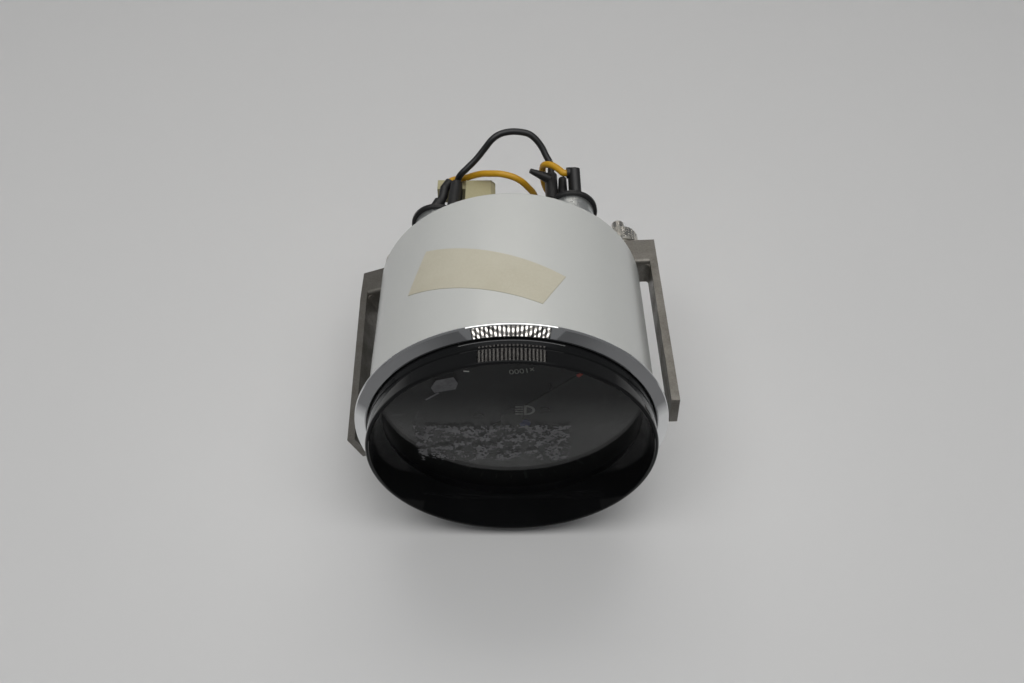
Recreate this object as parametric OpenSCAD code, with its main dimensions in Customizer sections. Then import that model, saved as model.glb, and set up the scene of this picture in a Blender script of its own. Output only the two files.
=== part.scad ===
// Car tachometer lying as photographed: its axis runs along Y and its face looks to -Y.
// Z is up, and the dial is upside down, so the top of the dial points to -Z.
// The origin is on the axis, in the flat rear face of the chrome ring, where a panel's front would be.

/* [Case] */
// Outer radius of the painted case
case_r = 49.5; // [48:0.5:51]
// Wall thickness of the case
case_wall = 0.8; // [0.6:0.1:1.2]
// Distance from the panel seat to the outside of the rear wall
case_depth = 64.6; // [62:0.2:72]
// Corner radius at the rear of the case
case_corner_r = 0.5; // [0.4:0.1:2.4]
// How far the gauge is rolled about its axis, in degrees
gauge_roll = 8; // [0:1:20]

/* [Bezel] */
// How far the chrome ring stands out beyond the case
ring_overhang = 3.5; // [3:0.1:4.5]
// Thickness of the ring in front of the panel seat
ring_t = 2.45; // [2.2:0.05:3]
// How far the black shroud stands out in front of the panel seat
shroud_out = 11.5; // [9:0.5:14]
// Wall thickness of the shroud at its front rim
shroud_wall = 1.3; // [1:0.1:2]
// Depth of the small step around the outside of the shroud
shroud_step = 0.3; // [0.1:0.1:0.5]

/* [Glass and dial] */
// Distance of the glass's front face behind the panel seat
glass_depth = 1.2; // [0.6:0.1:1.6]
// Thickness of the glass
glass_t = 1.6; // [1.2:0.1:2]
// Thickness of the rubber ring behind the glass
seal_t = 0.6; // [0.4:0.1:1]
// Height of the spacer between the rubber ring and the dial
spacer_t = 3.6; // [3:0.1:4.2]
// Wall thickness of the spacer
spacer_wall = 1.3; // [1:0.1:2]
// Thickness of the dial plate
dial_t = 0.8; // [0.6:0.1:1.2]
// Radius of the blue main-beam lens
lens_r = 2; // [1.6:0.1:2.2]
// Distance of the main-beam lens from the dial's centre
lens_offset = 7.6; // [6.6:0.1:8]

/* [Pointer] */
// Distance from the axis to the pointer's tip
pointer_length = 36; // [30:1:42]
// Width of the pointer at its hub
pointer_w = 3; // [2:0.2:4]
// Thickness of the pointer
pointer_t = 0.5; // [0.4:0.1:0.6]
// Radius of the pointer's hub cap
hub_r = 4; // [3:0.2:4.4]
// Radius of the pointer shaft
shaft_r = 0.6; // [0.5:0.1:0.8]
// Direction of the resting pointer above the horizontal, in degrees
pointer_rest = 46.5; // [44:0.5:50]

/* [Movement] */
// Side of the square block that holds the windings
bobbin_side = 16.6; // [15:0.2:17]
// Length of that block along the axis
bobbin_len = 10.6; // [10:0.2:12]
// Thickness of one winding
winding_t = 2; // [1.5:0.1:2.4]
// Width of one winding
winding_w = 8; // [6:0.5:9]
// Wall thickness of the movement's steel cup
cup_wall = 0.8; // [0.6:0.1:1.2]
// Thickness of the plate that carries the movement
plate_t = 1.8; // [1.4:0.1:2.4]

/* [Studs and clamps] */
// Distance of each mounting stud's axis inside the outside of the case
stud_inset = 5.5; // [5.5:0.5:6.5]
// Radius of a mounting stud
stud_r = 2.5; // [2:0.1:2.6]
// Length of a stud behind the case
stud_out = 32.4; // [30:0.2:36]
// Pitch of the stud's thread
stud_pitch = 0.8; // [0.7:0.1:1]
// Height of the clamp's bar
clamp_h = 12; // [10:0.5:13]
// Thickness of the clamp's steel
clamp_t = 2.8; // [2:0.1:3]
// Distance from the stud's axis to the outside of the clamp's bar
clamp_reach = 12.6; // [12.4:0.1:15]
// The same distance on the left clamp, which is bent
left_reach = 14.3; // [12.6:0.1:15]
// Gap between the front end of the clamp and the panel seat
clamp_front_gap = 1.8; // [0.5:0.1:2.5]
// Depth of the clamp's arm, along the axis
clamp_arm_d = 11.9; // [9:0.1:12.5]
// Radius of the bends between the arm's web and its two sides
clamp_bend_r = 1.5; // [1:0.1:2.5]
// Radius of the bend between the arm and the bar
clamp_corner_r = 2.5; // [1:0.1:3]
// How far the left clamp has swivelled on its stud, in degrees
left_swivel = 12; // [0:0.5:24]
// How far the right clamp has swivelled on its stud, in degrees
right_swivel = -5; // [-30:0.5:30]
// How far the left clamp's bar is bent downwards, in degrees
left_bend = 4.2; // [0:0.2:7]
// Radius of the knurled thumb nut
thumb_r = 7.2; // [6:0.1:8]
// Length of the thumb nut
thumb_len = 7; // [6:0.5:9]
// Thickness of the washer under the thumb nut
washer_t = 1; // [0.8:0.1:1.6]
// Radius of the washer
washer_r = 6; // [5:0.5:7]

/* [Lamps] */
// Radius of the bright shell of a lampholder
shell_r = 8.2; // [7:0.1:8.2]
// Wall thickness of the shell
shell_wall = 0.6; // [0.4:0.1:1]
// How far the shell stands out of the rear wall
shell_out = 7.4; // [6:0.2:9]
// Radius of the black flange of a lampholder
flange_r = 9.6; // [9.2:0.1:9.8]
// Thickness of that flange
flange_t = 2; // [1.5:0.1:3]
// Radius of a bulb's glass
bulb_r = 4.8; // [4:0.1:5]

/* [Board] */
// Thickness of the circuit board
board_t = 1.6; // [1.2:0.1:2]
// Width of the circuit board
board_w = 62; // [58:1:62]
// Height of the circuit board, without its tongue
board_h = 50; // [46:1:50]
// Gap between the circuit board and the rear wall
board_gap = 8.6; // [8.4:0.1:9.5]

/* [Leads] */
// Radius of a lead's insulation
lead_r = 1.25; // [1:0.05:1.3]
// Height of a rubber terminal sleeve
sleeve_w = 8.6; // [8:0.1:8.8]
// Greatest thickness of a rubber terminal sleeve
sleeve_t = 4.4; // [4:0.1:4.6]
// Width of a blade terminal
blade_w = 6.3; // [4.8:0.1:6.3]
// Thickness of a blade terminal
blade_t = 0.8; // [0.5:0.1:1]

/* [Hidden] */
$fn = 96;

// Clearances
fit_gap = 0.05;
loose_gap = 0.1;
clear_gap = 0.3;
cut = 1;

// Case, ring and shroud
case_in_r = case_r - case_wall;
rear_in_y = case_depth - case_wall;
ring_r = case_r + ring_overhang;
ring_lip_t = 0.6;
flange_sheet_t = 0.6;
can_flange_r = case_r + 1.1;
can_flange_y = -ring_lip_t - flange_sheet_t;
ring_face_r = case_in_r + loose_gap;
shroud_r = case_in_r - 0.2;
shroud_step_y = -5.7;
shroud_in_r = shroud_r - shroud_wall;
throat_step = 3.2;
shroud_throat_r = shroud_in_r - throat_step;

// Stack from the glass back to the light box
glass_y = glass_depth;
seal_y = glass_y + glass_t;
spacer_y = seal_y + seal_t;
dial_y = spacer_y + spacer_t;
dial_back = dial_y + dial_t;
stack_r = shroud_r;
spacer_in_r = stack_r - spacer_wall;
seal_in_r = stack_r - 1.6;

// Pointer
pointer_y = (seal_y + dial_y) / 2 + 0.05;
hub_t = 2;
hub_y = pointer_y - 0.85;
tail_length = 9;
stop_r = 0.5;
stop_dist = 20;

// Movement
plate_y = dial_back + 2.8;
plate_r = 15;
post_r = 2.2;
post_offset = 11.5;
screw_r = 0.95;
screw_head_r = 1.8;
screw_head_t = 0.8;
winding_gap = 0.2;
inner_half_x = bobbin_side / 2 + winding_gap + winding_t;
inner_half_y = bobbin_len / 2 + winding_gap + winding_t;
outer_half_z = bobbin_side / 2 + winding_gap + winding_t;
outer_half_y = inner_half_y + winding_gap + winding_t;
move_y = plate_y + plate_t + outer_half_y + winding_gap;
cup_in_r = max(norm([inner_half_x, winding_w / 2]), bobbin_side * sqrt(0.5)) + 0.4;
cup_r = cup_in_r + cup_wall;
cup_y = plate_y + plate_t;
cup_end = move_y + outer_half_y + winding_gap + cup_wall;
shaft_hole = 1.5;
rotor_r = bobbin_side / 2 - 1.4;
rotor_t = 4;
bearing_r = 2.2;
spring_t = 0.25;
spring_y = dial_back + 1;
spring_h = 0.6;
spring_in = 1.3;
spring_pitch = 0.6;
spring_turns = 5;
led_r = 1.5;

// Light box
box_wall = 1.2;
box_r = case_in_r - 1.1;
box_hole_r = 16;
boss_r = 3;
bulb_hole_r = 6.5;

// Circuit board and what stands on it, seen in the gauge's own upright axes
board_back = rear_in_y - board_gap;
board_y = board_back - board_t;
board_low = -34;
tongue_w = 12;
tongue_x = -7.9;
tongue_top = 36;
screw_spots = [[-26, -28], [26, -28], [6, 11]];
pillar_r = 2.6;
case_screw_r = 1.5;
case_head_r = 2.8;
case_head_t = 1.8;
trimmer_spot = [20, -8];
trimmer_side = 9;
trimmer_h = 4.6;
trimmer_r = 2.6;
trimmer_rotor_t = 1.2;
trimmer_hole_r = 3;
chip_spot = [-8, -6];
chip_size = [20, 6.4, 3.8];
cap_spots = [[-22, 4, 4, 7.4], [-22, -10, 3.2, 7], [12, -24, 3.2, 7]];
resistor_spots = [[-4, -18], [-4, -22], [-4, -26], [14, 4], [14, 0]];
resistor_r = 1.2;
resistor_len = 6.6;
resistor_wire_r = 0.3;

// Studs, clamps and nuts
stud_offset = case_r - stud_inset;
stud_head_r = 3;
stud_head_t = 1.5;
lock_af = 8;
lock_t = 3.4;
arm_front_y = case_depth + lock_t + 0.6;
clamp_end_y = arm_front_y + clamp_arm_d;
arm_in = 5.6;
stud_fit = 0.08;
knurls = 30;
knurl_r = 0.4;

// Lampholders: centre of each, as seen with the gauge level
lamp_right = [26.4, 30];
lamp_left = [-22.95, 30.7];
collar_t = 0.8;
collar_r = shell_r + 0.8;
shell_front_y = case_depth - 14;
box_to_shells = 4.6;
box_end = shell_front_y - box_to_shells;
shell_end_y = case_depth + shell_out;
holder_plug_len = 12;
flange_end_y = shell_end_y + flange_t;
base_r = 3.6;
base_len = 6;
bulb_len = 12;

// Blade terminals, level with the table: x and z of the foot, lean to the right,
// tilt upwards, length of the sleeve, and how much thinner than the others it is
blade_len = 8;
sleeve_nose = 1;
terminals = [
    [-30.2, 27.2, 25, 8, 10, 0],
    [-21.5, 30.7, 4, 0, 16.5, 0],
    [15.2, 35.2, 0, 0, 15.5, 0],
    [19.3, 34.9, 0, 0, 13, 1.4],
    [23.7, 36.6, -3.5, 31, 13, 0.4],
];
kinked = 4;
arm_len = 2.8;
arm_r = 2;
arm_up = 1.5;
spare_base = behind_flange([[14.2, 11.5, 38.6]])[0];
spare_tip = behind_flange([[7.2, 11.5, 42.2]])[0];

// The first sleeve goes on as a narrower curved tube
nose_r = 1.7;
nose_bends = behind_flange([[-25.5, 12, 29.8], [-25, 15.3, 30.9], [-23.3, 18.7, 31.2]]);

// Connector, level with the table
conn_right = -5.8;
conn_neck_left = -17;
conn_low = 22.6;
conn_top = 31.8;
conn_end = flange_end_y + 19;
lug_low = [-28, flange_end_y + 17, conn_low];
lug_high = [conn_neck_left, flange_end_y + 22.4, 29.2];
conn_wall = 1.2;
pin_rows = 2;
pin_columns = 3;
pin_w = 1.6;

// Routes of the leads between the sleeves that they start and end in
lead_grip = 3;
black_middle = behind_flange([
    [-20.2, 17.8, 31.2], [-20, 18.4, 32.6], [-19.4, 18.6, 34], [-18.3, 18.9, 35.4],
    [-16.8, 19.6, 36.6], [-13, 22, 39.4], [-10, 24, 42.4], [-7, 25.6, 45.7], [-4, 27, 47.2],
    [-0.2, 28, 47.6], [3.6, 28, 47.5], [7, 27.6, 46.8], [9.6, 26.6, 45.1], [11.9, 25, 42.6],
    [13.4, 23, 40.4], [14.9, 21, 38.5], [15.3, 19.4, 36.8], [15.3, 18, 35.6],
]);
yellow_middle = behind_flange([
    [-22.2, 19.9, 31.1], [-20.8, 20.9, 30.8], [-19, 21.4, 30.9], [-17, 21.2, 31.3],
    [-15, 21, 32.2], [-13.1, 20.4, 33.3], [-10.8, 19.2, 34.8], [-8.5, 18, 35.8], [-3.9, 16.3, 37],
    [0.6, 15.3, 36.5], [3.6, 15, 34.9], [5.3, 15, 33.3], [6.7, 15.2, 31.4], [8.6, 15.6, 28.6],
    [9.8, 16, 25.2], [10.8, 16.5, 21.4], [12.4, 17, 17.8], [14.8, 17.3, 15.8], [17.4, 17.5, 17],
    [18.3, 17.6, 20], [17.3, 17.6, 23.2], [15.4, 17.5, 26], [13.8, 17.4, 28.8],
    [12.9, 17.2, 31.5], [12.3, 17, 34.5], [12, 16.8, 37.5], [12, 16.4, 40], [12.5, 15.4, 41.8],
    [13.7, 14.2, 43], [15.2, 12.9, 43.6], [16.8, 11.3, 43.7], [18, 9.8, 43.7],
]);
lead_sides = 8;

// Paper label: its centre on the unrolled case, along the arc and along Y, and its corners
label_tilt = -21;
label_arc = -10.3;
label_y = 27.4;
label_corners = [[-25.1, 8.2], [26.8, 8.4], [24.2, -7.6], [-25.7, -9.7]];
label_t = 0.15;

// Points whose y counts from the back of the holders' flanges, put in the part's own frame
function behind_flange(points) = [for (p = points) [p[0], flange_end_y + p[1], p[2]]];

// Point in sleeve i, at a distance from its foot and above its axis
function on_sleeve(i, d, up = 0) =
    let (t = terminals[i])
    [
        t[0] + (d * cos(t[3]) - up * sin(t[3])) * sin(t[2]),
        flange_end_y + (d * cos(t[3]) - up * sin(t[3])) * cos(t[2]),
        t[1] + d * sin(t[3]) + up * cos(t[3])
    ];

// Point on the side arm of the kinked sleeve, at a distance from the sleeve's axis
function on_arm(d) =
    let (lean = terminals[kinked][2])
    on_sleeve(kinked, sleeve_length(kinked) - arm_r, arm_up) + d * [-cos(lean), sin(lean), 0];

// Length and thickness of sleeve number i
function sleeve_length(i) = terminals[i][4];
function thickness(i) = sleeve_t - terminals[i][5];

// Full routes, with straight ends inside the sleeves
black_route = concat(
    [on_sleeve(1, sleeve_length(1) - lead_grip), on_sleeve(1, sleeve_length(1) + 0.6)],
    black_middle,
    [on_sleeve(2, sleeve_length(2) + 0.8), on_sleeve(2, sleeve_length(2) - lead_grip)]
);
yellow_route = concat(
    [nose_bends[1] * 0.45 + nose_bends[2] * 0.55, nose_bends[2]],
    yellow_middle,
    [on_arm(arm_len + 1), on_arm(arm_len - 2)]
);

// Unit vector
function unit(v) = v / norm(v);

// Direction of a route at point i
function heading(p, i) = unit(p[min(i + 1, len(p) - 1)] - p[max(i - 1, 0)]);

// Normals carried along a route without twist
function normals(p, i = 0, n = [0, 0, 1]) =
    let (t = heading(p, i), m = unit(n - t * (n * t)))
    i == len(p) - 1 ? [m] : concat([m], normals(p, i + 1, m));

// Turns a shape that stands along Z so that it lies along Y
module lay() {
    rotate([-90, 0, 0])
        children();
}

// Turns a shape by the roll of the gauge
module rolled() {
    rotate([0, -gauge_roll, 0])
        children();
}

// Ring or disc about the gauge's axis from a section of [radius, y] points
module turned(points) {
    lay()
        rotate_extrude()
            polygon(points);
}

// Round bar along Y from y0 to y1 at [x, z]
module rod(r, y0, y1, at = [0, 0]) {
    translate([at[0], y0, at[1]])
        lay()
            cylinder(r = r, h = y1 - y0);
}

// Tube along Y from y0 to y1 at [x, z]
module pipe(r, r_in, y0, y1, at = [0, 0]) {
    difference() {
        rod(r, y0, y1, at);
        rod(r_in, y0 - cut, y1 + cut, at);
    }
}

// Six-sided bar along Y, measured across its flats
module hex_bar(flats, y0, y1, at = [0, 0]) {
    translate([at[0], y0, at[1]])
        lay()
            cylinder(r = flats / sqrt(3), h = y1 - y0, $fn = 6);
}

// Block given by its low and high corners
module block(low, high) {
    translate(low)
        cube(high - low);
}

// Flat bar with round edges, w high and t thick, along Y
module flat_bar(w, t, y0, y1) {
    translate([0, y0, 0])
        lay()
            linear_extrude(y1 - y0)
                union() {
                    square([t, w - t], center = true);
                    for (side = [-1, 1])
                        translate([0, side * (w - t) / 2])
                            circle(r = t / 2, $fn = 32);
                }
}

// Tube swept through the points of a route
module swept(p, r) {
    n = normals(p);
    rings = [
        for (i = [0 : len(p) - 1], k = [0 : lead_sides - 1])
            let (a = 360 * k / lead_sides, t = heading(p, i))
            p[i] + r * (cos(a) * n[i] + sin(a) * cross(t, n[i]))
    ];
    last = lead_sides * (len(p) - 1);
    polyhedron(rings, concat(
        [[for (k = [0 : lead_sides - 1]) k]],
        [
            for (i = [0 : len(p) - 2], k = [0 : lead_sides - 1])
                let (a = lead_sides * i, b = (k + 1) % lead_sides)
                [a + k, a + lead_sides + k, a + lead_sides + b, a + b]
        ],
        [[for (k = [lead_sides - 1 : -1 : 0]) last + k]]
    ));
}

module can() {
    color([0.80, 0.82, 0.80])
        difference() {
            union() {
                turned(concat(
                    [[0, rear_in_y], [case_in_r - case_corner_r, rear_in_y]],
                    [
                        for (a = [0 : 15 : 90])
                            [case_in_r - case_corner_r + case_corner_r * sin(a),
                             rear_in_y - case_corner_r + case_corner_r * cos(a)]
                    ],
                    [
                        [case_in_r, can_flange_y], [can_flange_r, can_flange_y],
                        [can_flange_r, can_flange_y + flange_sheet_t],
                        [case_r, can_flange_y + flange_sheet_t]
                    ],
                    [
                        for (a = [90 : -15 : 0])
                            [case_in_r - case_corner_r + (case_corner_r + case_wall) * sin(a),
                             rear_in_y - case_corner_r + (case_corner_r + case_wall) * cos(a)]
                    ],
                    [[0, case_depth]]
                ));
            }
            rolled() {
                for (at = [lamp_left, lamp_right])
                    rod(shell_r + loose_gap, rear_in_y - cut, case_depth + cut, at);
                for (side = [-1, 1])
                    rod(stud_r + loose_gap, rear_in_y - cut, case_depth + cut, [side * stud_offset, 0]);
                for (at = screw_spots)
                    rod(case_screw_r + loose_gap, rear_in_y - cut, case_depth + cut, at);
                rod(trimmer_hole_r, rear_in_y - cut, case_depth + cut, trimmer_spot);
            }
            block(
                [conn_neck_left - loose_gap, rear_in_y - cut, conn_low - loose_gap],
                [conn_right + loose_gap, case_depth + cut, conn_top + loose_gap]
            );
        }
}

module bezel_ring() {
    color([0.85, 0.87, 0.90])
        turned([
            [case_r + fit_gap, 0], [ring_r - 0.4, 0], [ring_r - 0.12, -0.12],
            [ring_r, -0.4], [ring_r - 0.05, -0.75], [ring_r - 0.3, -1],
            [ring_face_r + 0.7, 0.08 - ring_t], [ring_face_r + 0.3, -ring_t],
            [ring_face_r, 0.15 - ring_t], [ring_face_r, can_flange_y - fit_gap],
            [can_flange_r + fit_gap, can_flange_y - fit_gap],
            [can_flange_r + fit_gap, -ring_lip_t + fit_gap],
            [case_r + fit_gap, -ring_lip_t + fit_gap],
        ]);
}

module front_shroud() {
    color([0.03, 0.03, 0.035])
        turned([
            [shroud_throat_r, glass_y], [shroud_r, glass_y], [shroud_r, shroud_step_y + 0.3],
            [shroud_r - shroud_step, shroud_step_y], [shroud_r - 0.1, shroud_step_y - 0.4],
            [shroud_r, 0.6 - shroud_out], [shroud_r - 0.15, 0.2 - shroud_out],
            [shroud_r - 0.5, -shroud_out], [shroud_in_r + 0.3, -shroud_out],
            [shroud_in_r, 0.3 - shroud_out],
        ]);
}

module front_glass() {
    color([0.75, 0.80, 0.80, 0.3])
        rod(stack_r, glass_y, seal_y);
}

module glass_seal() {
    color([0.05, 0.05, 0.05])
        pipe(stack_r, seal_in_r, seal_y, spacer_y);
}

module spacer_ring() {
    color([0.04, 0.04, 0.04])
        pipe(stack_r, spacer_in_r, spacer_y, dial_y);
}

// Place of the main-beam lens on the dial, in the gauge's own axes
lens_angle = -60;
lens_at = lens_offset * [cos(lens_angle), sin(lens_angle)];

module dial_plate() {
    color([0.02, 0.02, 0.02])
        difference() {
            rod(stack_r, dial_y, dial_back);
            rod(shaft_hole, dial_y - cut, dial_back + cut);
            rolled() {
                rod(lens_r + fit_gap, dial_y - cut, dial_back + cut, lens_at);
                for (side = [-1, 1])
                    rod(screw_r + fit_gap, dial_y - cut, dial_back + cut, [side * post_offset, 0]);
            }
            rotate([0, -stop_angle, 0])
                rod(stop_r, dial_y - cut, dial_back + cut, [stop_dist, 0]);
        }
}

module dial_screws() {
    color([0.1, 0.1, 0.1])
        rolled()
            for (side = [-1, 1])
                difference() {
                    union() {
                        rod(screw_head_r, dial_y - screw_head_t, dial_y, [side * post_offset, 0]);
                        rod(screw_r, dial_y, plate_y + plate_t, [side * post_offset, 0]);
                    }
                    translate([side * post_offset, dial_y - screw_head_t, 0])
                        cube([2 * screw_head_r + cut, screw_head_t, 0.5], center = true);
                }
}

module main_beam_lens() {
    color([0.05, 0.10, 0.6])
        rolled()
            rod(lens_r, dial_y - 0.2, dial_back, lens_at);
}

module main_beam_led() {
    color([0.7, 0.75, 0.9])
        rolled()
            rod(led_r, dial_back + 0.1, plate_y, lens_at);
}

// The stop stands beside the resting pointer, on its zero side
stop_angle = pointer_rest + asin((pointer_w / 2 * 0.62 + stop_r + fit_gap) / stop_dist);

module pointer_stop() {
    color([0.12, 0.12, 0.12])
        rotate([0, -stop_angle, 0])
            rod(stop_r, pointer_y - pointer_t / 2, dial_back, [stop_dist, 0]);
}

module pointer() {
    color([0.80, 0.13, 0.03])
        rotate([0, -pointer_rest, 0])
            difference() {
                translate([0, pointer_y - pointer_t / 2, 0])
                    lay()
                        linear_extrude(pointer_t)
                            polygon([
                                [pointer_length, 0], [pointer_length - 3, 0.55],
                                [0, pointer_w / 2], [-tail_length, pointer_w / 2],
                                [-tail_length, -pointer_w / 2], [0, -pointer_w / 2],
                                [pointer_length - 3, -0.55],
                            ]);
                rod(shaft_r + fit_gap, pointer_y - cut, pointer_y + cut);
            }
}

module pointer_hub() {
    color([0.03, 0.03, 0.03])
        difference() {
            turned([
                [0, hub_y], [hub_r - 0.5, hub_y], [hub_r, hub_y + 0.5],
                [hub_r, hub_y + hub_t], [0, hub_y + hub_t],
            ]);
            rod(shaft_r + fit_gap, hub_y + 0.4, hub_y + hub_t + cut);
            rotate([0, -pointer_rest, 0])
                block(
                    [-hub_r - cut, pointer_y - pointer_t / 2 - fit_gap, -pointer_w / 2 - fit_gap],
                    [hub_r + cut, pointer_y + pointer_t / 2 + fit_gap, pointer_w / 2 + fit_gap]
                );
        }
}

module pointer_shaft() {
    color([0.7, 0.7, 0.72])
        union() {
            rod(shaft_r, hub_y + 0.4, cup_end + 0.2);
            rod(spring_in - spring_t, spring_y - 0.2, spring_y + spring_h + 0.2);
        }
}

module magnet_rotor() {
    color([0.25, 0.25, 0.27])
        pipe(rotor_r, shaft_r, move_y - rotor_t / 2, move_y + rotor_t / 2);
}

// Half rings whose centres step to and fro make the flat spiral
module hairspring() {
    color([0.75, 0.55, 0.25])
        translate([0, spring_y, 0])
            lay()
                linear_extrude(spring_h)
                    union() {
                        for (i = [0 : 2 * spring_turns - 1])
                            translate([(i % 2 == 0 ? 0 : spring_pitch / 2), 0])
                                rotate([0, 0, i * 180])
                                    half_ring(spring_in + i * spring_pitch / 2);
                    }
}

// Half of a flat ring, above its own X axis
module half_ring(r) {
    intersection() {
        difference() {
            circle(r = r + spring_t);
            circle(r = r);
        }
        translate([-r - cut, 0])
            square([2 * (r + cut), r + cut]);
    }
}

module movement_plate() {
    color([0.6, 0.6, 0.62])
        difference() {
            union() {
                rod(plate_r, plate_y, plate_y + plate_t);
                rolled()
                    for (side = [-1, 1])
                        rod(post_r, dial_back, plate_y, [side * post_offset, 0]);
            }
            rod(bearing_r, plate_y - cut, plate_y + plate_t + cut);
            rolled()
                for (side = [-1, 1])
                    rod(screw_r + fit_gap, dial_back - cut, plate_y + plate_t + cut, [side * post_offset, 0]);
        }
}

module movement_cup() {
    color([0.66, 0.66, 0.68])
        difference() {
            rod(cup_r, cup_y, cup_end);
            rod(cup_in_r, cup_y - cut, cup_end - cup_wall);
            rod(bearing_r, cup_end - cup_wall - cut, cup_end + cut);
        }
}

module front_bearing() {
    color([0.78, 0.62, 0.30])
        pipe(bearing_r, shaft_r + fit_gap, plate_y, plate_y + plate_t);
}

module rear_bearing() {
    color([0.78, 0.62, 0.30])
        pipe(bearing_r, shaft_r + fit_gap, cup_end - cup_wall, cup_end + 0.8);
}

module coil_bobbin() {
    half = bobbin_side / 2;
    color([0.12, 0.12, 0.12])
        difference() {
            union() {
                block([-half, move_y - bobbin_len / 2, -half], [half, move_y + bobbin_len / 2, half]);
                for (sx = [-1, 1], sz = [-1, 1])
                    rod(1.6, cup_y, move_y, [sx * (half - 1.7), sz * (half - 1.7)]);
            }
            rod(rotor_r + clear_gap, move_y - rotor_t / 2 - clear_gap, move_y + rotor_t / 2 + clear_gap);
            rod(shaft_hole, move_y - bobbin_len, move_y + bobbin_len);
        }
}

module inner_winding() {
    color([0.62, 0.30, 0.14])
        difference() {
            block(
                [-inner_half_x, move_y - inner_half_y, -winding_w / 2],
                [inner_half_x, move_y + inner_half_y, winding_w / 2]
            );
            block(
                [winding_t - inner_half_x, move_y - inner_half_y + winding_t, -winding_w],
                [inner_half_x - winding_t, move_y + inner_half_y - winding_t, winding_w]
            );
            rod(shaft_hole, move_y - 2 * inner_half_y, move_y + 2 * inner_half_y);
        }
}

module outer_winding() {
    color([0.70, 0.36, 0.17])
        difference() {
            block(
                [-winding_w / 2, move_y - outer_half_y, -outer_half_z],
                [winding_w / 2, move_y + outer_half_y, outer_half_z]
            );
            block(
                [-winding_w, move_y - outer_half_y + winding_t, winding_t - outer_half_z],
                [winding_w, move_y + outer_half_y - winding_t, outer_half_z - winding_t]
            );
            rod(shaft_hole, move_y - 2 * outer_half_y, move_y + 2 * outer_half_y);
        }
}

module light_box() {
    color([0.92, 0.92, 0.90])
        difference() {
            union() {
                difference() {
                    rod(box_r, dial_back, box_end);
                    rod(box_r - box_wall, dial_back - cut, box_end - box_wall);
                }
                pipe(stack_r, box_r - box_wall, dial_back, dial_back + 1.2);
                rolled()
                    for (at = screw_spots)
                        rod(boss_r, box_end - box_wall, board_y, at);
            }
            rod(box_hole_r, box_end - box_wall - cut, box_end + cut);
            rolled() {
                for (at = [lamp_left, lamp_right])
                    rod(bulb_hole_r, box_end - box_wall - cut, box_end + cut, at);
                for (at = screw_spots)
                    rod(case_screw_r + fit_gap, box_end - cut, board_y + cut, at);
            }
        }
}

module circuit_board() {
    color([0.15, 0.35, 0.20])
        difference() {
            union() {
                rolled()
                    block([-board_w / 2, board_y, board_low], [board_w / 2, board_back, board_low + board_h]);
                rolled()
                    block(
                        [tongue_x - tongue_w / 2, board_y, 0],
                        [tongue_x + tongue_w / 2, board_back, tongue_top]
                    );
            }
            rolled()
                for (at = screw_spots)
                    rod(case_screw_r + fit_gap, board_y - cut, board_back + cut, at);
            pin_places()
                block([-pin_w / 2, board_y - cut, -pin_w / 2], [pin_w / 2, board_back + cut, pin_w / 2]);
        }
}

module board_pillars() {
    color([0.75, 0.65, 0.35])
        rolled()
            for (at = screw_spots)
                pipe(pillar_r, case_screw_r + fit_gap, board_back, rear_in_y, at);
}

module case_screws() {
    color([0.72, 0.72, 0.70])
        rolled()
            for (at = screw_spots)
                difference() {
                    union() {
                        rod(case_screw_r, box_end + 1, case_depth, at);
                        rod(case_head_r, case_depth, case_depth + case_head_t, at);
                    }
                    translate([at[0], case_depth + case_head_t, at[1]])
                        cube([2 * case_head_r + cut, case_head_t, 0.8], center = true);
                }
}

module driver_chip() {
    color([0.06, 0.06, 0.06])
        rolled()
            union() {
                translate([chip_spot[0], board_back + 0.6 + chip_size[2] / 2, chip_spot[1]])
                    cube([chip_size[0], chip_size[2], chip_size[1]], center = true);
                for (i = [0 : 7], side = [-1, 1])
                    translate([
                        chip_spot[0] + (i - 3.5) * 2.54,
                        board_back + 1.2,
                        chip_spot[1] + side * (chip_size[1] / 2 + 0.3)
                    ])
                        cube([0.6, 2.4, 0.7], center = true);
            }
}

module capacitors() {
    color([0.15, 0.20, 0.45])
        rolled()
            for (c = cap_spots)
                rod(c[2], board_back, board_back + c[3], [c[0], c[1]]);
}

module resistors() {
    color([0.72, 0.62, 0.45])
        rolled()
            for (at = resistor_spots)
                translate([at[0], board_back + resistor_r + 0.3, at[1]])
                    union() {
                        rotate([0, 90, 0])
                            cylinder(r = resistor_r, h = resistor_len, center = true, $fn = 32);
                        rotate([0, 90, 0])
                            cylinder(r = resistor_wire_r, h = resistor_len + 3.6, center = true, $fn = 16);
                        for (side = [-1, 1])
                            rod(resistor_wire_r, -resistor_r - 0.3, 0, [side * (resistor_len / 2 + 1.5), 0], $fn = 16);
                    }
}

module trimmer_body() {
    half = trimmer_side / 2;
    color([0.10, 0.25, 0.55])
        rolled()
            translate([trimmer_spot[0], board_back, trimmer_spot[1]])
                difference() {
                    block([-half, 0, -half], [half, trimmer_h, half]);
                    rod(trimmer_r + fit_gap, trimmer_h - 1, trimmer_h + cut);
                }
}

module trimmer_rotor() {
    color([0.9, 0.9, 0.85])
        rolled()
            translate([trimmer_spot[0], board_back + trimmer_h - 1 + fit_gap, trimmer_spot[1]])
                difference() {
                    rod(trimmer_r, 0, trimmer_rotor_t);
                    translate([0, trimmer_rotor_t, 0])
                        cube([2 * trimmer_r + cut, 1, 0.7], center = true);
                }
}

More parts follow.
